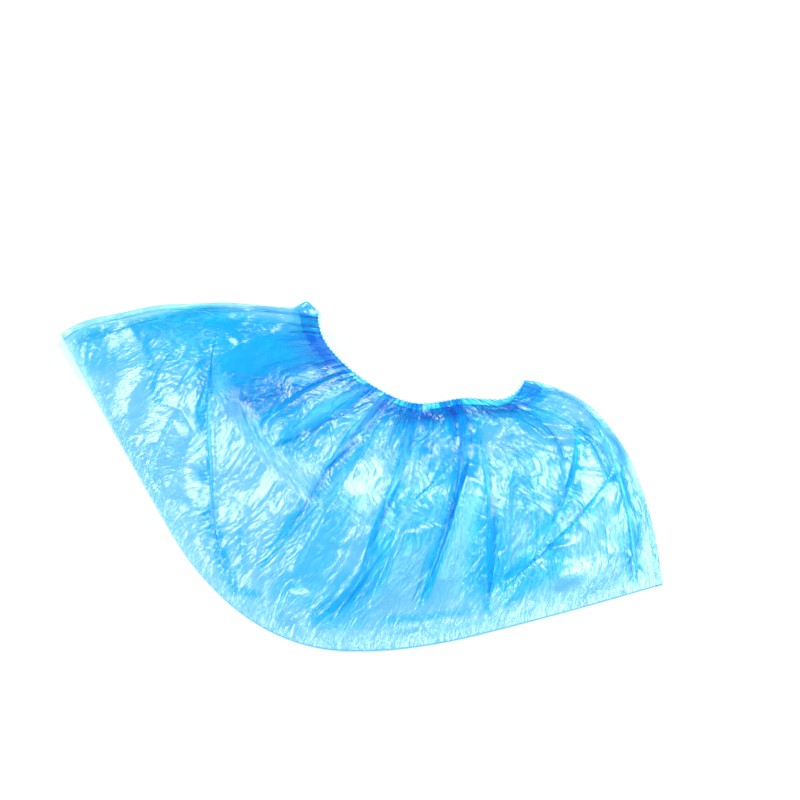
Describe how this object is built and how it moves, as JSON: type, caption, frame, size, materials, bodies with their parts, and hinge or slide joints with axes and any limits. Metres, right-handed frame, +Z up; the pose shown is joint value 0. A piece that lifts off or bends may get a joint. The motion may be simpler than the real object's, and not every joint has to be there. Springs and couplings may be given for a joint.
{
  "type": "shoe cover",
  "caption": "Disposable film overshoe lying flat, with a gathered elastic mouth and welded ends, pulled over a shoe to keep floors clean.",
  "frame": {"origin": "under the middle of the laid cover, on the surface that it lies on", "axes": "+X along the cover towards the toe seam, +Y from the sole fold towards the mouth, +Z up"},
  "size_m": [0.3104, 0.1865, 0.0251],
  "materials": {
    "film": "thin crinkled blue polyethylene film, see-through",
    "hem_film": "doubled, gathered blue film",
    "elastic": "thin pale elastic thread caught in the film's edge",
    "weld": "heat-welded film strip"
  },
  "bodies": {
    "root": {"film_body": "film", "rim_hem": "hem_film", "elastic_edge": "elastic", "toe_seam": "weld", "heel_seam": "weld"}
  },
  "joints": []
}
